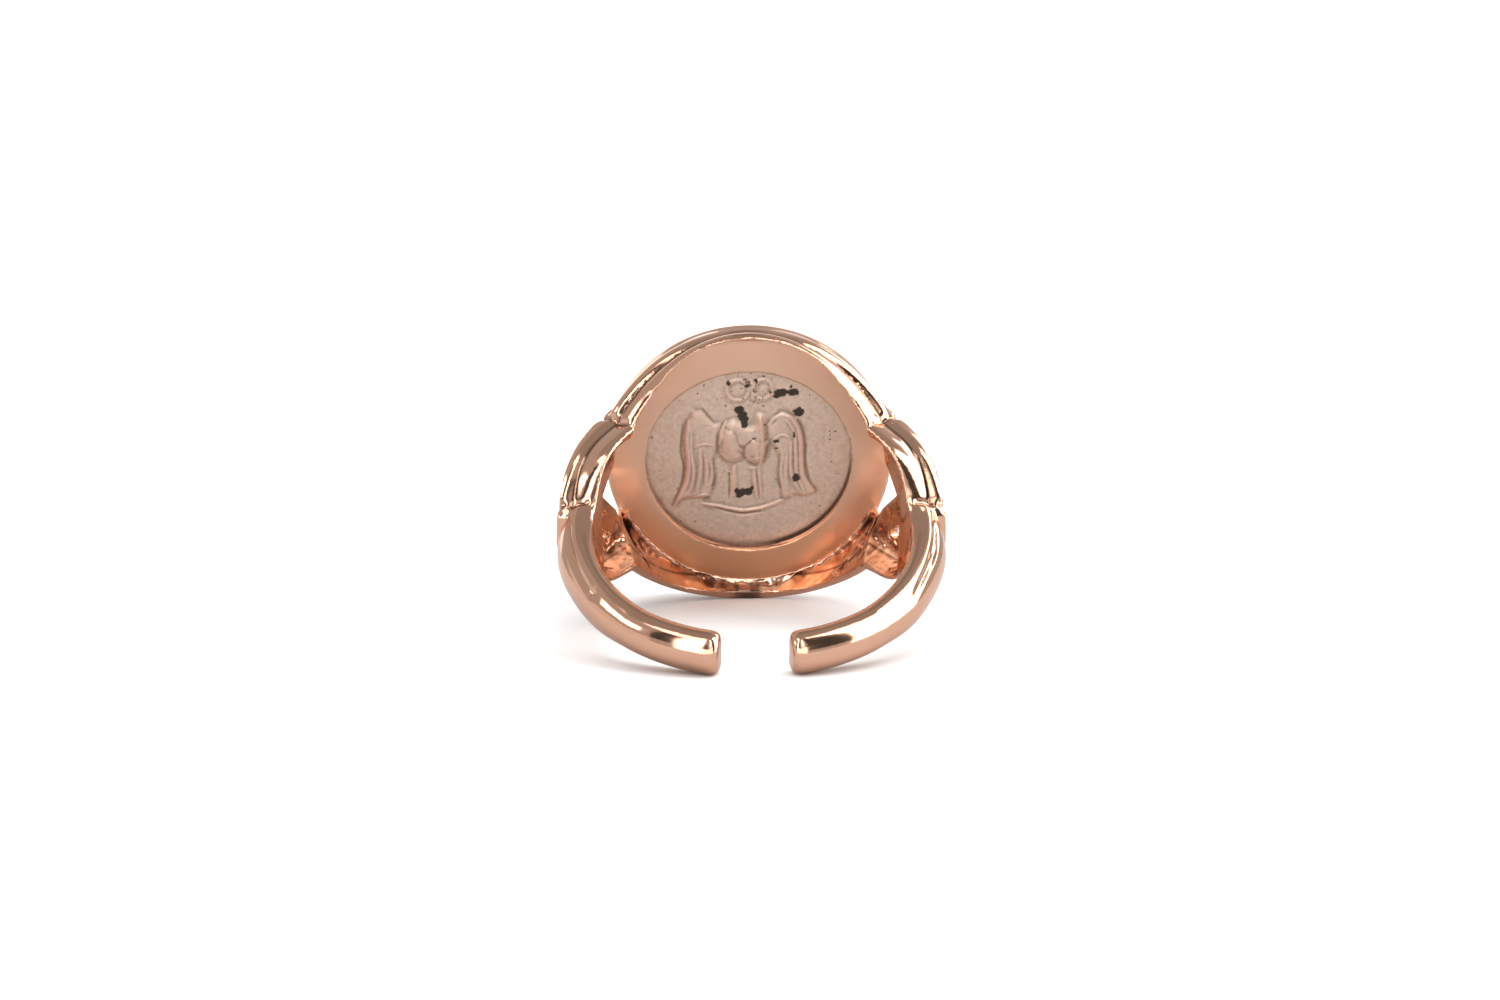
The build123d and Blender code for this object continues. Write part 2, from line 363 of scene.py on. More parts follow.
def cast_rose_gold(settings):
    """The inner walls: bright, but wavy as they came from the mould, with brown bands painted in
    as dark wavy reflections.
    """
    f = Finish("cast_rose_gold")
    stops = (0.30, settings.cast_reflection_dark), (0.42, settings.cast_deep), (0.6, settings.cast_color)
    tone = f.ramp(f.noise(620, 1), *stops)
    waves = f.bump(f.noise(560, 2), 0.35, 0.8)
    return f.surface(
        # Painted dark reflection on the collar's foot, through the shade attribute
        base_color=f.mix(f.attribute("shade"), tone, settings.painted_shade_color),
        roughness=f.remap(f.noise(1500, 3), 0.05, 0.14),
        normal=f.bump(f.noise(2600, 2, 0.6), 0.02, 0.4, waves))


def worn_silver(settings):
    """The coin: dull warm silver, darker in its hollows and in a painted shadow under the window's
    edge, with flat brown stains.
    """
    f = Finish("worn_silver")
    tone = f.ramp(f.noise(3600, 5, 0.7), (0.3, settings.silver_deep), (0.7, settings.silver_color))
    tone = f.mix(f.attribute("warmth_and_reflection"), tone, settings.silver_warm)
    tone = f.mix(f.attribute("hollow"), tone, settings.silver_hollow_and_shadow)
    return f.surface(
        base_color=f.mix(f.attribute("stain"), tone, settings.stain_color),
        metallic=f.remap(f.attribute("stain"), 0.75, 0.15),
        roughness=f.remap(f.attribute("stain"), settings.silver_roughness, 0.7),
        normal=f.bump(f.noise(5200, 4, 0.75), 0.03, 0.6))


# Band and head


def round_finger(points):
    """Places in the ring's own frame, their angle from the head in degrees and their radius."""
    across, out, along = points.T
    return across, out, along, np.degrees(np.arctan2(np.abs(across), out)), np.hypot(across, out)


def outwards(points, normals):
    """How far each normal points straight away from the finger axis, from -1 to 1."""
    across, out, _ = points.T
    return (normals[:, 0] * across + normals[:, 1] * out) / np.hypot(across, out)


def crease_place(angle):
    """Where the crease between lobe and rib runs: distance from the ring's middle and strength."""
    share = (angle - 84.0) / 40.0
    return 1.74 - 0.78 * share, smoothstep(0.0, 0.15, share) * (1 - smoothstep(0.75, 1.05, share))


def joint_weight(points):
    """1 at the pinch and the cuff, where the cast tiers run into each other."""
    _, _, along, angle, radius = round_finger(points)
    pinch = bell(angle, PINCH_ANGLE, 2.0) * smoothstep(3.2, 3.8, np.abs(along))
    cuff = bell(angle, CUFF_ANGLE + 1.5, 3.2)
    return np.maximum(pinch, cuff) * smoothstep(8.6, 9.0, radius)


def shade_map(points, normals):
    """Painted shade: dark lines in the creases, and a painted dark reflection on the collar's
    foot, from 0 to 1.
    """
    across, out, along, angle, radius = round_finger(points)
    # Half width of a line, and the length of one degree at each place, in millimetres
    line = 0.09
    degree = np.radians(1.0) * radius
    # The groove, pinch, cuff and crease lines are painted shade, standing for the dark a sharp
    # crease holds
    groove = bell(radius, GROOVE_RADIUS, line) * (angle < CUFF_ANGLE) * (np.abs(along) > 0.9)
    groove *= np.abs(normals[:, 2]) > 0.2
    pinch = bell((angle - PINCH_ANGLE) * degree, 0.0, line) * smoothstep(3.9, 4.2, np.abs(along))
    cuff = bell((angle - CUFF_ANGLE + 0.4) * degree, 0.0, line)
    crease_at, strength = crease_place(angle)
    crease = bell(np.abs(along), crease_at, 0.10) * strength * smoothstep(9.2, 9.6, radius)
    lines = np.maximum.reduce([groove * 0.9, pinch * 0.7, cuff * 0.7, crease * 0.5])
    # The lines at pinch and cuff fade where the surface begins to turn inwards
    outside = smoothstep(-0.5, 0.1, outwards(points, normals))
    joints = np.maximum(pinch, cuff) * outside
    lines = np.where(joints >= lines, lines * outside, lines) * smoothstep(8.7, 9.0, radius)
    # Painted dark reflection on the collar's foot, standing for the dark floor it would mirror.
    # Its ends are uneven
    wave = across + 0.25 * np.sin(5.0 * out + 2.0 * across)
    foot = smoothstep(-3.0, -2.3, wave) * (1 - smoothstep(0.7, 1.1, wave))
    foot *= smoothstep(8.50, 8.62, out) * (1 - smoothstep(9.05, 9.25, out)) * (along < -7.2)
    return np.maximum(lines, 0.9 * foot)


def sculpt_band(points, normals):
    """Sinks points of the band along their normals: pinch, cuff notch, creases and dents."""
    across, _, along, angle, radius = round_finger(points)
    outside = smoothstep(-0.35, 0.25, outwards(points, normals))
    # The pinch where the head's tiers dive under the shoulder
    pinch = bell(angle, PINCH_ANGLE, 1.0) * smoothstep(3.6, 4.2, np.abs(along))
    depth = 0.12 * pinch * smoothstep(8.7, 9.2, radius)
    # The notch where the shoulder's tiers end above the lobe
    depth += 0.12 * bell(angle, CUFF_ANGLE - 0.4, 1.0) * outside * smoothstep(8.7, 9.0, radius)
    # A crease splits the leaf-shaped lobe from the rib beside it
    crease_at, strength = crease_place(angle)
    depth += 0.16 * bell(np.abs(along), crease_at, 0.16) * strength * smoothstep(9.2, 9.6, radius)
    # A dent at the lower end of the left crease and a long shallow one in the right lobe
    depth += 0.10 * bell(angle, 121.0, 1.6) * bell(along, 1.0, 0.16) * outside * (across < 0)
    slant = along + 0.02 * (angle - 98.0)
    depth += 0.08 * bell(slant, 1.30, 0.08) * bell(angle, 102.0, 5.0) * outside * (across > 0)
    return points - normals * depth[:, None]


def plate_face(points, normals):
    """The back plate's flat face towards the finger."""
    across, out, along = points.T
    flat = (np.abs(out - PLATE_BACK) < 0.14) & (normals[:, 1] < -0.8)
    plan = np.hypot(across, along)
    return flat & (plan < 8.3) & (plan > WINDOW_RADIUS)


def inner_face(points, normals):
    """The walls inside the collar and inside the hollow shoulders."""
    across, out, along, angle, radius = round_finger(points)
    plan = np.hypot(across, along)
    inward = -(normals[:, 0] * across + normals[:, 2] * along) / plan
    collar = (angle < 56) & (inward > 0.3) & (radius > 8.75) & (plan < 8.6) & (out < PLATE_BACK)
    hollow = (angle > 38) & (angle < 79) & (radius > 8.6) & (radius < 10.4)
    hollow &= (outwards(points, normals) < 0.3) & (np.abs(along) < 4.2)
    hollow &= normals[:, 2] * np.sign(along) < 0.25
    return collar | hollow


class RingBody(bpy.types.PropertyGroup):
    """Sizes and colours of the band and head."""

    voxel: length_setting("Voxel", "Cell of the mesh that rounds the edges", 0.06, min=0.03 * MM)
    soften: count_setting("Soften", "Smoothing passes over the casting", 2, min=0, max=40)
    evening: count_setting("Evening", "Rounds that even out the polished faces", 34, min=0, max=60)
    crease: angle_setting("Crease", "Turn between faces that stays sharp", 28)
    triangles: count_setting("Triangles", "Triangles kept in the finished mesh", 185000, min=20000)
    polish: share_setting("Polish", "Roughness of the polished faces", 0.1)
    satin: share_setting("Satin", "Roughness of the back plate", 0.34)
    gold_color: color_setting("Gold", "Polished rose gold", 0.83, 0.485, 0.335)
    gold_deep: color_setting("Deep gold", "Polished rose gold, darker clouds", 0.80, 0.46, 0.31)
    # Colour of the painted shade in the creases and of the painted dark reflection on the collar's
    # foot
    painted_shade_color: color_setting("Groove", "Dark line in the groove", 0.10, 0.055, 0.04)
    satin_color: color_setting("Satin gold", "Back plate", 0.91, 0.61, 0.44)
    satin_deep: color_setting("Deep satin gold", "Back plate, darker clouds", 0.87, 0.57, 0.40)
    # Colour of the painted reflection of the collar on the plate's lower part
    satin_collar_reflection: color_setting("Warm satin gold", "Back plate by the collar", 1.0, 0.50, 0.27)
    cast_color: color_setting("Cast gold", "Inner walls", 0.86, 0.56, 0.42)
    cast_deep: color_setting("Deep cast gold", "Inner walls, darker clouds", 0.72, 0.43, 0.31)
    # Dark bands in the inner walls' colour: painted reflection of the wavy walls
    cast_reflection_dark: color_setting("Dark cast gold", "Inner walls, brown bands", 0.30, 0.16, 0.10)


class COINRING_OT_ring_body(bpy.types.Operator):
    """Dress the band and head: soften the casting, sculpt its details and give it its finishes"""

    bl_idname = "coinring.ring_body"
    bl_label = "Band and head"

    def execute(self, context):
        settings = context.scene.ring_body_settings
        obj = self.even_casting(settings)
        quads = Quads(obj.data)
        quads.even_out(settings.evening, settings.crease)
        quads.soften(0.6 * joint_weight(to_ring(quads.points)), 26)
        turn = np.array(TURN)
        quads.points = to_row(sculpt_band(to_ring(quads.points), quads.vertex_normals() @ turn))
        obj.data.vertices.foreach_set("co", quads.points.ravel())
        obj.data.update()
        thin = obj.modifiers.new("thin", "DECIMATE")
        thin.ratio = min(1.0, settings.triangles / (2.0 * len(obj.data.polygons)))
        mesh = evaluated_mesh(obj)
        shade_smooth(mesh)
        normals = self.fine_normals(mesh, quads)
        mesh.normals_split_custom_set_from_vertices(normals)
        places = to_ring(rows_of_three(mesh.vertices, "co"))
        set_values(mesh, "shade", shade_map(places, normals @ turn))
        # Painted reflection: the back plate turns deeper orange towards its lower edge, where it
        # would mirror the collar
        set_values(mesh, "warmth_and_reflection", 0.8 * smoothstep(0.0, 7.5, -places[:, 2]))
        mesh.materials.clear()
        for finish in (polished_rose_gold, satin_rose_gold, cast_rose_gold):
            mesh.materials.append(finish(settings))
        faces = (to_ring(rows_of_three(mesh.polygons, "center")),
                 rows_of_three(mesh.polygons, "normal") @ turn)
        index = np.where(plate_face(*faces), 1, np.where(inner_face(*faces), 2, 0))
        mesh.polygons.foreach_set("material_index", index.astype(np.int32))
        finish_piece(obj, "rose_gold", "ring_body")
        return {"FINISHED"}

    def even_casting(self, settings):
        """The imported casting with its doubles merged, its edges rounded and its cells even."""
        mesh = frame["nodes"]["ring_body"].data.copy()
        bm = bmesh.new()
        bm.from_mesh(mesh)
        bmesh.ops.remove_doubles(bm, verts=bm.verts, dist=1e-7)
        bm.to_mesh(mesh)
        bm.free()
        obj = new_object("band_and_head", mesh)
        remesh = obj.modifiers.new("even cells", "REMESH")
        remesh.mode = "VOXEL"
        remesh.voxel_size = settings.voxel
        soften = obj.modifiers.new("soften", "SMOOTH")
        soften.factor = 0.5
        soften.iterations = settings.soften
        evaluated_mesh(obj)
        return obj

    def fine_normals(self, mesh, quads):
        """The fine mesh's normals for a thinned one, from the nearest points that face its way."""
        tree = KDTree(len(quads.points))
        for i, point in enumerate(quads.points):
            tree.insert(point, i)
        tree.balance()
        own = unit(np.array([v.normal for v in mesh.vertices]))
        fine = quads.vertex_normals()[[tree.find(v.co)[1] for v in mesh.vertices]]
        return np.where(np.sum(own * fine, 1)[:, None] > 0.6, fine, own)


# Coin. Its picture is drawn in shares of the window's radius: across, and up along the finger.

LEFT_WING = [
    (-0.467, 0.54), (-0.575, 0.46), (-0.63, 0.27), (-0.635, 0.08), (-0.615, -0.06),
    (-0.63, -0.22), (-0.68, -0.38), (-0.745, -0.55), (-0.66, -0.47), (-0.57, -0.45),
    (-0.46, -0.45), (-0.38, -0.42), (-0.355, -0.26), (-0.36, -0.05), (-0.31, 0.12), (-0.28, 0.28),
    (-0.27, 0.39), (-0.34, 0.41),
]
RIGHT_WING = [
    (0.31, 0.52), (0.42, 0.48), (0.49, 0.37), (0.535, 0.19), (0.535, -0.04), (0.57, -0.23),
    (0.66, -0.38), (0.56, -0.43), (0.45, -0.42), (0.34, -0.45), (0.315, -0.26), (0.31, -0.02),
    (0.26, 0.12), (0.20, 0.22), (0.18, 0.36), (0.24, 0.42),
]
LEFT_BREAST = [
    (-0.285, 0.28), (-0.28, 0.12), (-0.23, 0.00), (-0.15, -0.03), (-0.07, 0.02), (-0.045, 0.13),
    (-0.06, 0.26), (-0.11, 0.36), (-0.20, 0.38),
]
RIGHT_BREAST = [
    (-0.05, 0.12), (-0.02, 0.02), (0.06, -0.04), (0.13, -0.02), (0.165, 0.08), (0.16, 0.20),
    (0.10, 0.27), (0.02, 0.31), (-0.05, 0.25),
]
TRUNK = [
    (-0.24, 0.36), (-0.22, 0.20), (-0.10, 0.12), (0.10, 0.12), (0.17, 0.24), (0.16, 0.46),
    (0.09, 0.50), (0.02, 0.38), (-0.08, 0.42), (-0.16, 0.44),
]

# Ridges: half width, height in millimetres, points
WING_RIDGES = [
    (0.017, 0.075, [
        (-0.585, 0.42), (-0.60, 0.20), (-0.585, -0.02), (-0.61, -0.25), (-0.73, -0.53),
    ]),
    (0.014, 0.055, [
        (-0.555, 0.32), (-0.56, 0.08), (-0.54, -0.12), (-0.56, -0.30), (-0.62, -0.43),
    ]),
    (0.017, 0.055, [(-0.475, 0.12), (-0.47, -0.12), (-0.51, -0.38)]),
    (0.015, 0.050, [(-0.425, 0.06), (-0.41, -0.12), (-0.42, -0.30)]),
    (0.016, 0.065, [(-0.37, 0.00), (-0.355, -0.18), (-0.375, -0.28), (-0.41, -0.30)]),
    (0.014, 0.050, [(-0.53, -0.44), (-0.45, -0.41), (-0.37, -0.42)]),
    (0.013, 0.040, [(-0.53, 0.14), (-0.43, 0.17), (-0.33, 0.15)]),
    (0.018, 0.080, [
        (0.31, 0.50), (0.43, 0.44), (0.50, 0.26), (0.515, 0.00), (0.54, -0.20), (0.64, -0.37),
    ]),
    (0.014, 0.055, [(0.36, 0.44), (0.44, 0.30), (0.46, 0.06), (0.475, -0.18), (0.56, -0.40)]),
    (0.015, 0.050, [(0.41, 0.18), (0.41, -0.10), (0.46, -0.28), (0.54, -0.42)]),
    (0.015, 0.050, [(0.33, 0.08), (0.315, -0.14), (0.335, -0.30), (0.35, -0.44)]),
    (0.014, 0.045, [(0.375, 0.06), (0.365, -0.16), (0.38, -0.36)]),
    (0.016, 0.060, [(0.19, 0.38), (0.25, 0.45), (0.32, 0.50)]),
    (0.013, 0.040, [(0.24, 0.22), (0.32, 0.27), (0.40, 0.24)]),
]
BODY_RIDGES = [
    (0.014, 0.050, [(-0.26, 0.05), (-0.17, 0.01), (-0.08, 0.05)]),
    (0.014, 0.045, [(-0.24, 0.02), (-0.17, -0.02), (-0.09, 0.01)]),
    (0.014, 0.050, [(-0.03, 0.04), (0.05, 0.00), (0.14, 0.04)]),
    (0.014, 0.045, [(-0.02, 0.00), (0.06, -0.03), (0.15, 0.00)]),
    (0.020, 0.080, [(0.11, 0.44), (0.13, 0.30), (0.14, 0.10), (0.11, -0.06)]),
    (0.016, 0.060, [(-0.22, 0.42), (-0.27, 0.30), (-0.285, 0.16)]),
    (0.020, 0.075, [(-0.14, -0.09), (-0.14, -0.28), (-0.15, -0.42)]),
    (0.018, 0.070, [(0.05, -0.14), (0.065, -0.30), (0.08, -0.44)]),
    (0.014, 0.050, [(0.10, -0.05), (0.11, -0.26), (0.13, -0.45)]),
    (0.013, 0.045, [(-0.22, -0.14), (-0.16, -0.16)]),
    (0.013, 0.045, [(0.00, -0.11), (0.08, -0.11)]),
    (0.022, 0.080, [
        (-0.45, -0.52), (-0.32, -0.545), (-0.08, -0.60), (0.13, -0.57), (0.34, -0.48),
    ]),
    (0.020, 0.050, [(0.02, 0.86), (0.03, 0.76), (0.04, 0.62)]),
]
CREASES = [
    (0.008, 0.060, [(-0.055, 0.13), (0.00, 0.19), (0.05, 0.24)]),
    (0.016, 0.050, [(-0.19, -0.14), (-0.19, -0.45)]),
    (0.020, 0.060, [(-0.33, -0.56), (-0.08, -0.635), (0.12, -0.61)]),
    (0.012, 0.040, [
        (-0.64, 0.38), (-0.665, 0.10), (-0.64, -0.10), (-0.67, -0.32), (-0.755, -0.54),
    ]),
    (0.012, 0.040, [(-0.335, 0.40), (-0.39, 0.47), (-0.45, 0.56)]),
    (0.012, 0.035, [(0.56, 0.16), (0.56, -0.06), (0.60, -0.23)]),
]

# The two rings above the bird: across, up, half width, half height
RINGS = [(-0.107, 0.755, 0.105, 0.11), (0.13, 0.765, 0.09, 0.105)]

# Stains: across, up, half width, half height
STAINS = [
    (-0.196, 0.836, 0.022, 0.020), (-0.022, 0.800, 0.020, 0.030), (0.198, 0.745, 0.014, 0.014),
    (0.298, 0.722, 0.070, 0.052), (0.268, 0.690, 0.045, 0.028), (0.420, 0.732, 0.052, 0.040),
    (0.365, 0.735, 0.040, 0.022), (0.400, 0.795, 0.014, 0.012), (-0.098, 0.545, 0.052, 0.040),
    (-0.068, 0.490, 0.048, 0.045), (-0.048, 0.435, 0.044, 0.048), (-0.040, 0.385, 0.030, 0.035),
    (0.485, 0.515, 0.045, 0.050), (0.450, 0.535, 0.030, 0.014), (0.437, 0.277, 0.015, 0.042),
    (0.255, 0.190, 0.026, 0.020), (0.285, 0.208, 0.016, 0.016), (0.264, 0.115, 0.014, 0.010),
    (0.054, 0.240, 0.016, 0.012), (0.465, -0.213, 0.044, 0.048), (-0.080, -0.400, 0.052, 0.040),
    (-0.040, -0.385, 0.050, 0.045), (0.010, -0.370, 0.042, 0.045), (0.035, -0.345, 0.024, 0.030),
    (-0.120, -0.365, 0.025, 0.020), (-0.100, -0.440, 0.030, 0.020), (0.066, 0.850, 0.012, 0.018),
]
SPECKS = [
    (-0.43, 0.81, 0.010), (-0.49, 0.72, 0.009), (-0.226, 0.587, 0.010), (0.138, 0.582, 0.009),
    (-0.78, 0.64, 0.007), (0.156, 0.38, 0.011), (0.84, 0.30, 0.009), (0.785, 0.30, 0.007),
    (0.79, 0.26, 0.008), (0.79, 0.21, 0.008), (0.81, -0.045, 0.007), (0.71, -0.55, 0.008),
    (-0.67, -0.726, 0.007), (-0.53, -0.73, 0.008), (-0.70, -0.34, 0.007), (0.784, 0.586, 0.006),
    (-0.94, 0.24, 0.009), (0.30, 0.62, 0.005), (0.10, 0.66, 0.006), (0.16, 0.86, 0.006),
    (-0.30, 0.66, 0.005), (0.58, 0.70, 0.007), (-0.58, -0.10, 0.005), (0.62, -0.52, 0.006),
    (0.27, -0.24, 0.005), (-0.42, 0.02, 0.005), (0.88, -0.18, 0.006), (-0.24, -0.50, 0.005),
]


def curve_points(points, steps=8, closed=False):
    """A smooth curve through listed points."""
    p = np.array(points, float)
    count = len(p)
    if closed:
        p = np.vstack([p[-1], p, p[0], p[1]])
        spans = count
    else:
        p = np.vstack([2 * p[0] - p[1], p, 2 * p[-1] - p[-2]])
        spans = count - 1
    t = np.linspace(0, 1, steps, endpoint=False)[:, None]
    out = []
    for i in range(spans):
        a, b, c, d = p[i:i + 4]
        out.append(0.5 * (2 * b + (c - a) * t + (2 * a - 5 * b + 4 * c - d) * t**2
                          + (3 * b - a - 3 * c + d) * t**3))
    if not closed:
        out.append(p[-2][None])
    return np.vstack(out)


def path_distance(a, b, points, closed=False):
    """Distance to a path, and how far along it the nearest place lies, from 0 to 1."""
    best = np.full(a.shape, 9.0)
    along = np.zeros(a.shape)
    ends = np.roll(points, -1, axis=0) if closed else points[1:]
    for i, (p, q) in enumerate(zip(points, ends)):
        d = q - p
        t = np.clip(((a - p[0]) * d[0] + (b - p[1]) * d[1]) / max(d @ d, 1e-12), 0, 1)
        gap = np.hypot(a - p[0] - t * d[0], b - p[1] - t * d[1])
        near = gap < best
        best = np.where(near, gap, best)
        along = np.where(near, (i + t) / len(ends), along)
    return best, along


def inside(a, b, points):
    """Whether each place lies inside a closed outline."""
    result = np.zeros(a.shape, bool)
    for p, q in zip(points, np.roll(points, -1, axis=0)):
        crosses = (p[1] > b) != (q[1] > b)
        at = p[0] + (b - p[1]) / (q[1] - p[1] + 1e-12) * (q[0] - p[0])
        result ^= crosses & (a < at)
    return result


def mound(a, b, outline, edge, height):
    """A raised shape with sloping sides inside a closed outline."""
    points = curve_points(outline, closed=True)
    depth = path_distance(a, b, points, closed=True)[0]
    depth = np.where(inside(a, b, points), depth, -depth)
    return height * smoothstep(-edge * 0.4, edge, depth)


def stroke(a, b, width, height, points):
    """A ridge along a path, thinner at its ends."""
    gap, along = path_distance(a, b, curve_points(points))
    taper = 0.45 + 0.55 * np.sin(np.pi * np.clip(along, 0.02, 0.98)) ** 0.5
    return height * taper * bell(gap, 0.0, width * taper)


def relief(a, b):
    """Height of the coin's picture above its field, in millimetres."""
    wings = np.maximum(mound(a, b, LEFT_WING, 0.05, 0.10), mound(a, b, RIGHT_WING, 0.05, 0.10))
    body = np.maximum(mound(a, b, LEFT_BREAST, 0.12, 0.30), mound(a, b, RIGHT_BREAST, 0.12, 0.28))
    body = np.maximum(body, mound(a, b, TRUNK, 0.08, 0.20))
    height = np.maximum(wings, body)
    ridges = np.zeros_like(a)
    for width, rise, points in WING_RIDGES + BODY_RIDGES:
        ridges = np.maximum(ridges, stroke(a, b, width, rise, points))
    for across, up, wide, tall in RINGS:
        reach = np.hypot((a - across) / wide, (b - up) / tall)
        ridges = np.maximum(ridges, 0.050 * bell(reach, 1.0, 0.16))
        ridges = np.maximum(ridges, 0.040 * bell(reach, 0.0, 0.35))
    height = height + ridges
    for width, depth, points in CREASES:
        height = height - stroke(a, b, width, depth, points)
    for depth, cells, seed in ((0.010, 5, 3), (0.006, 14, 4), (0.004, 40, 5)):
        height = height + depth * soft_noise(a, b, cells, seed)
    return height


def stain_map(a, b):
    """How strongly each place is stained, from 0 to 1."""
    wobble_a = a + 0.012 * soft_noise(a, b, 26, 11) + 0.005 * soft_noise(a, b, 70, 12)
    wobble_b = b + 0.012 * soft_noise(a, b, 24, 13) + 0.005 * soft_noise(a, b, 75, 14)
    stain = np.zeros_like(a)
    for across, up, wide, tall in STAINS:
        gap = np.hypot((wobble_a - across) / wide, (wobble_b - up) / tall)
        stain = np.maximum(stain, 1 - smoothstep(0.92, 1.08, gap))
    for across, up, size in SPECKS:
        gap = np.hypot(a - across, b - up) / size
        stain = np.maximum(stain, 1 - smoothstep(0.7, 1.2, gap))
    dust = soft_noise(a, b, 55, 21) + 0.5 * np.exp(-((a - 0.02) ** 2 + (b - 0.76) ** 2) / 0.03)
    return np.maximum(stain, 0.8 * smoothstep(0.93, 1.0, dust))


def disc_grid(cells):
    """A square grid bent into a disc of radius 1, without a pole."""
    line = np.linspace(-1, 1, cells + 1)
    x, y = np.meshgrid(line, line, indexing="ij")
    wide = np.abs(x) >= np.abs(y)
    reach = np.where(wide, x, y)
    share = np.where(wide, y / np.where(x == 0, 1, x), x / np.where(y == 0, 1, y))
    turn = share * np.pi / 4
    a = np.where(wide, reach * np.cos(turn), reach * np.sin(turn))
    b = np.where(wide, reach * np.sin(turn), reach * np.cos(turn))
    return a, b


def grid_border(cells):
    """Indices of the grid's border, in order round the disc, starting at the corner (-1, -1)."""
    index = np.arange((cells + 1) ** 2).reshape(cells + 1, cells + 1)
    sides = index[:-1, 0], index[-1, :-1], index[:0:-1, -1], index[0, :0:-1]
    return np.concatenate(sides).tolist()


# The coin's outline from the edge of its pictured field round to the middle of its front.
# across: share of the coin's radius. back: millimetres in front of its back face.
COIN_PROFILE = [
    # across, back
    (0.915, 0.200), (0.922, 0.120), (0.932, 0.035), (0.945, 0.000), (0.970, 0.010), (0.988, 0.060),
    (1.000, 0.200), (1.000, 0.600), (1.000, 1.000), (0.988, 1.140), (0.970, 1.190), (0.945, 1.200),
    (0.932, 1.165), (0.922, 1.080), (0.915, 1.000), (0.900, 0.980), (0.700, 0.980), (0.400, 0.980),
    (0.150, 0.980),
]


class CoinFace(bpy.types.PropertyGroup):
    """Sizes and colours of the coin."""

    cells: count_setting("Cells", "Grid cells across the coin's picture", 250, min=40, max=300)
    relief_share: share_setting("Relief", "Share of the picture's height left by wear", 1.0, 1.5)
    silver_roughness: share_setting("Dullness", "Roughness of the worn silver", 0.42)
    silver_color: color_setting("Silver", "Worn silver", 0.94, 0.75, 0.61)
    silver_deep: color_setting("Deep silver", "Worn silver, darker grain", 0.72, 0.56, 0.44)
    silver_warm: color_setting("Warm silver", "Pinkish raised edges", 0.95, 0.68, 0.54)
    # Colour of the darker hollows and of the painted shadow under the window's edge
    silver_hollow_and_shadow: color_setting("Hollows", "Darker silver in the hollows", 0.30, 0.20, 0.15)
    stain_color: color_setting("Stain", "Brown stains", 0.045, 0.032, 0.022)
    bead_count: count_setting("Beads", "Beads round the front of the coin", 56, min=8, max=200)
    bead_radius: length_setting("Bead radius", "Radius of a bead", 0.13)


class COINRING_OT_coin(bpy.types.Operator):
    """Build the coin: its worn picture towards the finger and its plain front"""

    bl_idname = "coinring.coin"
    bl_label = "Coin"

    def execute(self, context):
        settings = context.scene.coin_settings
        a, b = disc_grid(settings.cells)
        reach = COIN_PROFILE[0][0] * COIN_RADIUS / WINDOW_RADIUS
        a, b = a * reach, b * reach
        height = relief(a, b) * settings.relief_share
        height *= 1 - smoothstep(1.02, 1.08, np.hypot(a, b))
        points, faces = self.solid(a, b, height, settings.cells)
        mesh = new_mesh("worn_coin", points, [], faces)
        mesh.materials.append(worn_silver(settings))
        bm = bmesh.new()
        bm.from_mesh(mesh)
        bmesh.ops.recalc_face_normals(bm, faces=bm.faces)
        bm.to_mesh(mesh)
        bm.free()
        shade_smooth(mesh)
        self.paint(mesh, a, b, height)
        finish_piece(new_object("worn_coin", mesh), "old_silver", "coin")
        return {"FINISHED"}

    def solid(self, a, b, height, cells):
        """The pictured face as a grid, and rings of faces from its border round to the front."""
        field = COIN_BACK + FIELD_DEPTH - height
        points = np.stack([a * WINDOW_RADIUS, field, b * WINDOW_RADIUS], -1).reshape(-1, 3)
        row = cells + 1
        first = [i * row + j for i in range(cells) for j in range(cells)]
        faces = [(k, k + row, k + row + 1, k + 1) for k in first]
        last = grid_border(cells)
        turn = np.arctan2(points[last, 2], points[last, 0])
        for share, back in COIN_PROFILE:
            reach = share * COIN_RADIUS
            lift = np.full(len(turn), COIN_BACK + back)
            loop = np.stack([reach * np.cos(turn), lift, reach * np.sin(turn)], 1)
            now = list(range(len(points), len(points) + len(turn)))
            points = np.vstack([points, loop])
            faces += zip(last, now, now[1:] + now[:1], last[1:] + last[:1])
            last = now
        middle = len(points)
        points = np.vstack([points, [[0.0, COIN_BACK + COIN_PROFILE[-1][1], 0.0]]])
        faces += [(start, middle, end) for start, end in zip(last, last[1:] + last[:1])]
        return points, faces

    def shadow(self, a, b):
        """Painted shadow in the gap under the window's edge, at the lower right."""
        turn = np.degrees(np.arctan2(b, a))
        return smoothstep(0.975, 1.0, np.hypot(a, b)) * (1 - smoothstep(28, 48, np.abs(turn + 40)))

    def paint(self, mesh, a, b, height):
        """Stores the stains, the hollows with the painted shadow under the window's edge, and the
        warm edges as values on the points.
        """
        blurred = height.copy()
        for _ in range(14):
            inner = blurred.copy()
            inner[1:-1, 1:-1] = 0.2 * (blurred[1:-1, 1:-1] + blurred[:-2, 1:-1] + blurred[2:, 1:-1]
                                       + blurred[1:-1, :-2] + blurred[1:-1, 2:])
            blurred = inner
        difference = height - blurred
        values = {
            "stain": stain_map(a, b),
            # hollow also carries the painted shadow under the window's edge
            "hollow": np.maximum(np.clip(-difference / 0.022, 0, 1) * 0.85, self.shadow(a, b)),
            "warmth_and_reflection": np.clip(difference / 0.025, 0, 1) * 0.8,
        }
        for name, value in values.items():
            full = np.zeros(len(mesh.vertices))
            full[:value.size] = value.ravel()
            set_values(mesh, name, full)


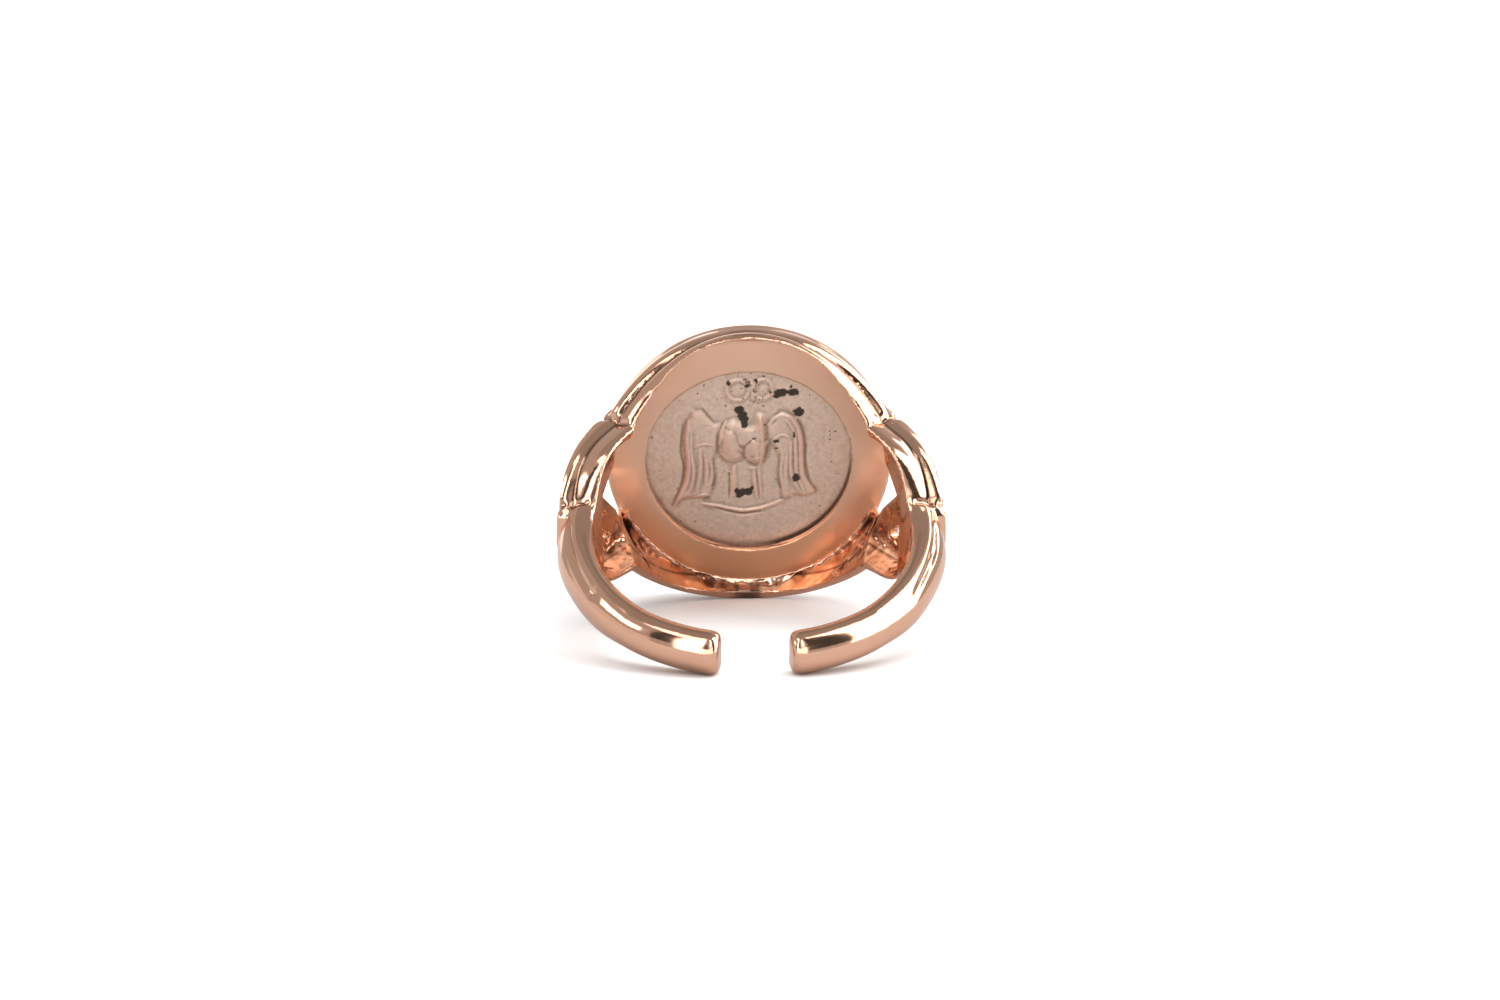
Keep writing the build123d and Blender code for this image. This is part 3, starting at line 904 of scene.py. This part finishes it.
def join_nodes(tree, rows):
    for source, output, target, socket in rows:
        tree.links.new(source.outputs[output], target.inputs[socket])


def start_tree(name, inputs):
    """A Geometry Nodes tree with named inputs, and its input node."""
    tree = bpy.data.node_groups.new(name, "GeometryNodeTree")
    tree.interface.new_socket("Geometry", in_out="INPUT", socket_type="NodeSocketGeometry")
    for label, kind in inputs:
        tree.interface.new_socket(label, in_out="INPUT", socket_type="NodeSocket" + kind)
    tree.interface.new_socket("Geometry", in_out="OUTPUT", socket_type="NodeSocketGeometry")
    return tree, tree.nodes.new("NodeGroupInput")


def end_tree(tree, last, output, material):
    """Makes the last node's output plain geometry of one material, as the tree's result."""
    add = tree.nodes.new
    real, paint = add("GeometryNodeRealizeInstances"), add("GeometryNodeSetMaterial")
    paint.inputs["Material"].default_value = material
    leave = add("NodeGroupOutput")
    join_nodes(tree, (
        (last, output, real, "Geometry"),
        (real, "Geometry", paint, "Geometry"),
        (paint, "Geometry", leave, "Geometry"),
    ))


def grow(obj, tree, values, matrix):
    """Runs a node tree on an object and keeps its result as a plain mesh, moved by the matrix."""
    modifier = obj.modifiers.new(tree.name, "NODES")
    modifier.node_group = tree
    for item in tree.interface.items_tree:
        if item.in_out == "INPUT" and item.name in values:
            modifier[item.identifier] = values[item.name]
    mesh = evaluated_mesh(obj)
    mesh.transform(matrix)
    mesh.update()
    shade_smooth(mesh)


def bead_tree(material):
    """Sets round beads on a circle."""
    tree, entry = start_tree(
        "bead_border", (("Count", "Int"), ("Circle radius", "Float"), ("Bead radius", "Float")))
    add = tree.nodes.new
    circle, bead = add("GeometryNodeMeshCircle"), add("GeometryNodeMeshIcoSphere")
    bead.inputs["Subdivisions"].default_value = 2
    place = add("GeometryNodeInstanceOnPoints")
    join_nodes(tree, (
        (entry, "Count", circle, "Vertices"),
        (entry, "Circle radius", circle, "Radius"),
        (entry, "Bead radius", bead, "Radius"),
        (circle, "Mesh", place, "Points"),
        (bead, "Mesh", place, "Instance"),
    ))
    end_tree(tree, place, "Instances", material)
    return tree


class COINRING_OT_beads(bpy.types.Operator):
    """Set the border of beads on the coin's front"""

    bl_idname = "coinring.beads"
    bl_label = "Coin beads"

    def execute(self, context):
        settings = context.scene.coin_settings
        obj = new_object("coin_beads", bpy.data.meshes.new("coin_beads"))
        reach = (COIN_RADIUS - COIN_RIM) * MM - 2 * settings.bead_radius
        values = {"Count": settings.bead_count, "Circle radius": reach,
                  "Bead radius": settings.bead_radius}
        lift = Matrix.Translation((0, COIN_FRONT - FIELD_DEPTH, 0))
        place = RING @ lift @ Matrix.Rotation(math.pi / 2, 4, "X") @ Matrix.Scale(1 / MM, 4)
        grow(obj, bead_tree(bpy.data.materials["worn_silver"]), values, place)
        finish_piece(obj, "old_silver")
        return {"FINISHED"}


# The seam of solder where the back plate meets the collar. It runs on both sides of the collar's
# foot. Its places are angles round the head's own axis from the finger axis, in degrees, and
# radii in millimetres.
SEAM = [
    (114, 7.86), (119, 7.92), (124, 7.90), (129, 7.96), (134, 7.98), (139, 8.02), (144, 8.04),
    (149, 8.10),
]


def seam_tree(material):
    """Sweeps an uneven bead of solder along a curve."""
    tree, entry = start_tree("solder_seam", (
        ("Radius", "Float"), ("Spacing", "Float"), ("Unevenness", "Float"), ("Lumps", "Float")))
    add = tree.nodes.new
    curve, even = add("GeometryNodeMeshToCurve"), add("GeometryNodeResampleCurve")
    even.mode = "LENGTH"
    section, sweep = add("GeometryNodeCurvePrimitiveCircle"), add("GeometryNodeCurveToMesh")
    section.inputs["Resolution"].default_value = 12
    sweep.inputs["Fill Caps"].default_value = True
    here, noise = add("GeometryNodeInputPosition"), add("ShaderNodeTexNoise")
    noise.noise_dimensions = "4D"
    noise.inputs["W"].default_value = 7.0
    centre, scale = add("ShaderNodeVectorMath"), add("ShaderNodeVectorMath")
    centre.operation, scale.operation = "SUBTRACT", "SCALE"
    centre.inputs[1].default_value = (0.5, 0.5, 0.5)
    shift = add("GeometryNodeSetPosition")
    join_nodes(tree, (
        (entry, "Geometry", curve, "Mesh"),
        (curve, "Curve", even, "Curve"),
        (entry, "Spacing", even, "Length"),
        (entry, "Radius", section, "Radius"),
        (even, "Curve", sweep, "Curve"),
        (section, "Curve", sweep, "Profile Curve"),
        (sweep, "Mesh", shift, "Geometry"),
        (here, "Position", noise, "Vector"),
        (entry, "Lumps", noise, "Scale"),
        (noise, "Color", centre, 0),
        (centre, "Vector", scale, 0),
        (entry, "Unevenness", scale, "Scale"),
        (scale, "Vector", shift, "Offset"),
    ))
    end_tree(tree, shift, "Geometry", material)
    return tree


class SolderSeam(bpy.types.PropertyGroup):
    """Sizes of the solder seam."""

    radius: length_setting("Radius", "Radius of the seam", 0.16)
    unevenness: length_setting("Unevenness", "How far the seam's lumps stand out", 0.22)
    spacing: length_setting("Spacing", "Distance between the seam's sections", 0.06)


class COINRING_OT_seam(bpy.types.Operator):
    """Lay the seam of solder between the back plate and the collar"""

    bl_idname = "coinring.seam"
    bl_label = "Solder seam"

    def execute(self, context):
        settings = context.scene.seam_settings
        path = curve_points(SEAM, 6)
        turn, reach = np.radians(path[:, 0]), path[:, 1]
        back = np.full(len(path), PLATE_BACK - 0.02)
        right = np.stack([reach * np.sin(turn), back, reach * np.cos(turn)], 1)
        points = np.vstack([right, right * (-1, 1, 1)])
        edges = [(i, i + 1) for i in range(len(points) - 1) if i != len(right) - 1]
        obj = new_object("solder_seam", new_mesh("solder_seam", points, edges, []))
        values = {"Radius": settings.radius, "Spacing": settings.spacing,
                  "Unevenness": settings.unevenness, "Lumps": 2600.0}
        grow(obj, seam_tree(bpy.data.materials["cast_rose_gold"]), values, Matrix.Identity(4))
        finish_piece(obj, "rose_gold")
        return {"FINISHED"}


# Stage

# Half of the floor's side in metres, the camera's lens and sensor in millimetres and its shift
FLOOR_HALF = 2.0
LENS = 41.52
SENSOR = 36
SHIFT = (0.0008, -0.0239)


class StageLight(bpy.types.PropertyGroup):
    """Floor, lights and camera."""

    floor_color: color_setting("Floor", "Paper under the ring", 0.86, 0.86, 0.86)
    floor_shade: color_setting("Floor shade", "Paper as the metal sees it", 0.47, 0.47, 0.48)
    paper_light: brightness_setting("Paper light", "Soft light from above for the paper", 1.6)
    walls: brightness_setting("Walls", "Brightness of the room between the softboxes", 0.5)
    backdrop: brightness_setting("Backdrop", "Brightness of the backdrop in the picture", 1.1)
    elevation: angle_setting("Camera elevation", "Angle of the camera above the head's axis", 30.8)
    yaw: angle_setting("Camera yaw", "Turn of the camera about the finger axis", 1.2)
    roll: angle_setting("Camera roll", "Turn of the camera about its own axis", 0.35)
    distance: length_setting("Camera distance", "From the camera to the back plate", 100)


# The room round the ring: azimuth and half width, elevation and half height in degrees,
# brightness. Azimuth 0 lies behind the ring, positive to the right of the photograph.
ROOM = {
    "ceiling": (0, 400, 80, 18, 0.36),
    "left low wall": (-92, 32, 2, 12, 0.8),
    "back wall top": (0, 12, 61, 10, 0.28),
    "back left glow": (-20, 22, 10, 18, 1.4),
    "back right glow": (16, 14, 12, 20, 0.9),
    "right arm": (85, 53, 38, 11, 3.6),
    "right softbox": (101, 25, 32, 44, 3.6),
    "right gap": (139, 12, 42, 30, 0.06),
    "right front strip": (170, 10, 55, 20, 2.6),
    "right front wall": (166, 14, 14, 17, 2.2),
    "left arm": (-106, 12, 33, 8, 3.6),
    "left softbox": (-146, 7, 28, 44, 3.6),
    "left gap": (-132, 7, 40, 22, 0.06),
    "left top": (-128, 22, 68, 7, 2.6),
    "far left gap": (-160, 7, 34, 12, 0.15),
    "left front wall": (-166, 14, 8, 14, 2.2),
}


def room_light(settings):
    """A pale room with softboxes and dark gaps between them, and a white backdrop."""
    world = bpy.data.worlds.new("studio")
    bpy.context.scene.world = world
    world.use_nodes = True
    tree = world.node_tree
    add, join = tree.nodes.new, tree.links.new

    def math_node(operation, *values):
        node = add("ShaderNodeMath")
        node.operation = operation
        for socket, value in zip(node.inputs, values):
            if isinstance(value, bpy.types.NodeSocket):
                join(value, socket)
            else:
                socket.default_value = value
        return node.outputs[0]

    def band(angle, centre, half):
        """1 within half of the centre, fading to 0 over two degrees."""
        gap = math_node("ABSOLUTE", math_node("SUBTRACT", angle, math.radians(centre)))
        edge = math_node("SUBTRACT", math.radians(half), gap)
        mask = math_node("MULTIPLY_ADD", edge, 1 / math.radians(2.0), 0.5)
        mask.node.use_clamp = True
        return mask

    split = add("ShaderNodeSeparateXYZ")
    join(add("ShaderNodeTexCoord").outputs["Generated"], split.inputs[0])
    azimuth = math_node("ARCTAN2", split.outputs["X"], split.outputs["Y"])
    elevation = math_node("ARCSINE", split.outputs["Z"])
    light = settings.walls
    for turn, wide, rise, tall, value in ROOM.values():
        mask = math_node("MULTIPLY", band(azimuth, turn, wide), band(elevation, rise, tall))
        added = math_node("MULTIPLY", math_node("SUBTRACT", value, light), mask)
        light = math_node("ADD", light, added)
    seen = add("ShaderNodeLightPath").outputs["Is Camera Ray"]
    shown = math_node("MULTIPLY", math_node("SUBTRACT", settings.backdrop, light), seen)
    join(math_node("ADD", light, shown), tree.nodes["Background"].inputs["Strength"])
    tree.nodes["Background"].inputs["Color"].default_value = (1.0, 1.0, 1.0, 1.0)


class COINRING_OT_stage(bpy.types.Operator):
    """Set the pale floor, the soft lights and the camera"""

    bl_idname = "coinring.stage"
    bl_label = "Stage"

    def execute(self, context):
        settings = context.scene.stage_settings
        mesh = bpy.data.meshes.new("floor")
        far = FLOOR_HALF
        corners = [(-far, -far, 0), (far, -far, 0), (far, far, 0), (-far, far, 0)]
        mesh.from_pydata(corners, [], [(0, 1, 2, 3)])
        paper = Finish("floor_paper", metallic=0.0)
        seen = paper.add("ShaderNodeLightPath").outputs["Is Camera Ray"]
        paper.shader.inputs["Roughness"].default_value = 0.9
        paper.shader.inputs["Specular IOR Level"].default_value = 0.1
        tone = paper.mix(seen, settings.floor_shade, settings.floor_color)
        mesh.materials.append(paper.surface(base_color=tone))
        new_object("floor", mesh)
        room_light(settings)
        overhead = bpy.data.lights.new("paper_light", "SUN")
        overhead.energy = settings.paper_light
        overhead.angle = math.radians(60)
        lamp = new_object("paper_light", overhead)
        lamp.visible_glossy = False
        context.scene.view_settings.view_transform = "Standard"
        self.camera(context, settings)
        return {"FINISHED"}

    def camera(self, context, settings):
        data = bpy.data.cameras.new("camera")
        data.lens = LENS
        data.sensor_width = SENSOR
        data.shift_x, data.shift_y = SHIFT
        data.clip_start = 0.005
        camera = new_object("camera", data)
        target = RING @ Vector((0, PLATE_BACK, 0))
        rise, yaw = settings.elevation, settings.yaw
        level = Vector((-math.sin(yaw), -math.cos(yaw), 0)) * math.cos(rise)
        away = TURN @ (level + Vector((0, 0, math.sin(rise))))
        right = FINGER_AXIS.cross(away).normalized()
        up = away.cross(right)
        pose = Matrix((right, up, away)).transposed() @ Matrix.Rotation(settings.roll, 3, "Z")
        camera.matrix_world = Matrix.Translation(target + away * settings.distance) @ pose.to_4x4()
        context.scene.camera = camera


class COINRING_PT_panel(bpy.types.Panel):
    """Lists the ring's pieces and the stage"""

    bl_label = "Coin ring"
    bl_idname = "COINRING_PT_panel"
    bl_space_type = "VIEW_3D"
    bl_region_type = "UI"
    bl_category = "Coin ring"

    def draw(self, context):
        for name, (_, *operators) in GROUPS.items():
            box = self.layout.box()
            settings = getattr(context.scene, name)
            for entry in settings.bl_rna.properties.keys():
                if entry not in {"rna_type", "name"}:
                    box.prop(settings, entry)
            for operator in operators:
                box.operator(operator.bl_idname, text=operator.bl_label)


# Each group of settings with its operators
GROUPS = {
    "ring_body_settings": (RingBody, COINRING_OT_ring_body),
    "seam_settings": (SolderSeam, COINRING_OT_seam),
    "coin_settings": (CoinFace, COINRING_OT_coin, COINRING_OT_beads),
    "stage_settings": (StageLight, COINRING_OT_stage),
}
CLASSES = [cls for classes in GROUPS.values() for cls in classes] + [COINRING_PT_panel]


def register():
    for cls in CLASSES:
        bpy.utils.register_class(cls)
    for name, (group, *_) in GROUPS.items():
        setattr(bpy.types.Scene, name, bpy.props.PointerProperty(type=group))


def unregister():
    for name in GROUPS:
        delattr(bpy.types.Scene, name)
    for cls in reversed(CLASSES):
        bpy.utils.unregister_class(cls)


def main():
    register()
    bpy.ops.coinring.ring_body()
    bpy.ops.coinring.seam()
    bpy.ops.coinring.coin()
    bpy.ops.coinring.beads()
    bpy.ops.coinring.stage()


if __name__ == "__main__":
    main()
